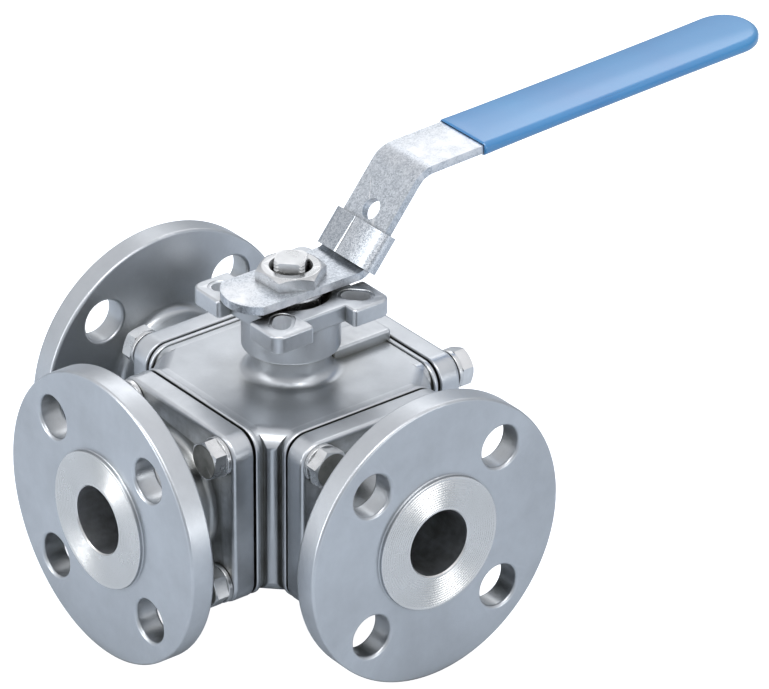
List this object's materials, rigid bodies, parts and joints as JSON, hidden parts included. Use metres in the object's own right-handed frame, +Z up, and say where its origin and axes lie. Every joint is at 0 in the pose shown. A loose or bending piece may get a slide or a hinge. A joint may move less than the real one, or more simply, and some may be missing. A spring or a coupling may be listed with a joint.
{
  "type": "ball valve",
  "caption": "Three-way flanged ball valve in cast stainless steel, with a blanked side and a bent quarter-turn lever that has a lock plate and a blue grip.",
  "frame": {"origin": "where the axes of the three pipe flanges meet the stem axis, at the centre of the ball", "axes": "+Z up the stem towards the lever, +X and -X along the straight run, -Y towards the branch flange, +Y towards the blanked side, over which the lever points at rest"},
  "size_m": [0.17, 0.2961, 0.1614],
  "materials": {
    "cast_steel": "satin, bead blasted",
    "machined_steel": "machined, satin",
    "sheet_steel": "tumbled satin",
    "seal_plastic": "waxy white",
    "seal_rubber": "matt black",
    "grip_vinyl": "glossy dipped vinyl"
  },
  "bodies": {
    "housing": {"body": "cast_steel", "run_cap_left": "cast_steel", "run_cap_right": "cast_steel", "branch_cap": "cast_steel", "blank_cover": "cast_steel", "gasket_left": "seal_plastic", "gasket_right": "seal_plastic", "gasket_branch": "seal_plastic", "gasket_blank": "seal_plastic", "seat_left": "seal_plastic", "seat_right": "seal_plastic", "seat_branch": "seal_plastic", "seat_blank": "seal_plastic", "cap_bolts_left": "machined_steel", "cap_bolts_right": "machined_steel", "cap_bolts_branch": "machined_steel", "cap_bolts_blank": "machined_steel", "spring_washers_left": "machined_steel", "spring_washers_right": "machined_steel", "spring_washers_branch": "machined_steel", "spring_washers_blank": "machined_steel", "packing_rings": "seal_plastic", "packing_follower": "machined_steel"},
    "stem_and_lever": {"stem": "machined_steel", "thrust_washer": "seal_plastic", "stem_o_ring": "seal_rubber", "disc_springs": "machined_steel", "gland_nut": "machined_steel", "tab_washer": "machined_steel", "lever": "sheet_steel", "handle_nut": "machined_steel", "lever_sleeve": "grip_vinyl"},
    "turning_ball": {"ball": "machined_steel"},
    "sliding_lock": {"lock_plate": "sheet_steel"}
  },
  "joints": [
    {"name": "lever_turn", "type": "hinge", "parent": "housing", "child": "stem_and_lever", "pos_m": [0, 0, 0.04], "axis": [0, 0, 1], "range_deg": [-90, 90]},
    {"name": "ball_turn", "type": "hinge", "parent": "housing", "child": "turning_ball", "pos_m": [0, 0, 0], "axis": [0, 0, 1], "range_deg": [-90, 90]},
    {"name": "lock_slide", "type": "slide", "parent": "stem_and_lever", "child": "sliding_lock", "axis": [0, 0.6293, 0.7771], "range_m": [0, 0.018]}
  ],
  "couplings": [
    {"joint": "ball_turn", "follows": "lever_turn", "ratio": 1}
  ]
}
